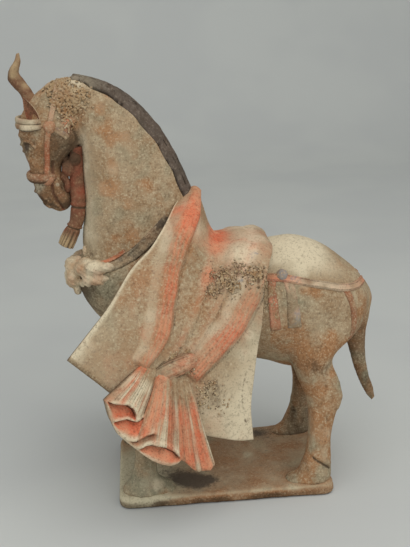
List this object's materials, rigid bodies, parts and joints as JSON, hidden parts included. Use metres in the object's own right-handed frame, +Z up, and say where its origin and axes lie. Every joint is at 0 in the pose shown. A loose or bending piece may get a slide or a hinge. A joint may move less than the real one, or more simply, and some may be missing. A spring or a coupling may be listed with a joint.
{
  "type": "terracotta saddled horse figure",
  "caption": "Standing saddled horse in unglazed earthenware with worn red paint: draped saddle cloth knotted into pleated fans, bridle, tassels and straps, on a slab plinth.",
  "frame": {"origin": "centre of the plinth's underside", "axes": "+Z up, -X the way the horse faces, -Y its left flank"},
  "size_m": [0.288, 0.2184, 0.3635],
  "materials": {
    "painted_earthenware": "unglazed and matte, with worn pigment and burial crust",
    "plinth_earthenware": "unglazed and matte, earth stained"
  },
  "bodies": {
    "root": {"saddled_horse": "painted_earthenware", "plinth": "plinth_earthenware"}
  },
  "joints": []
}
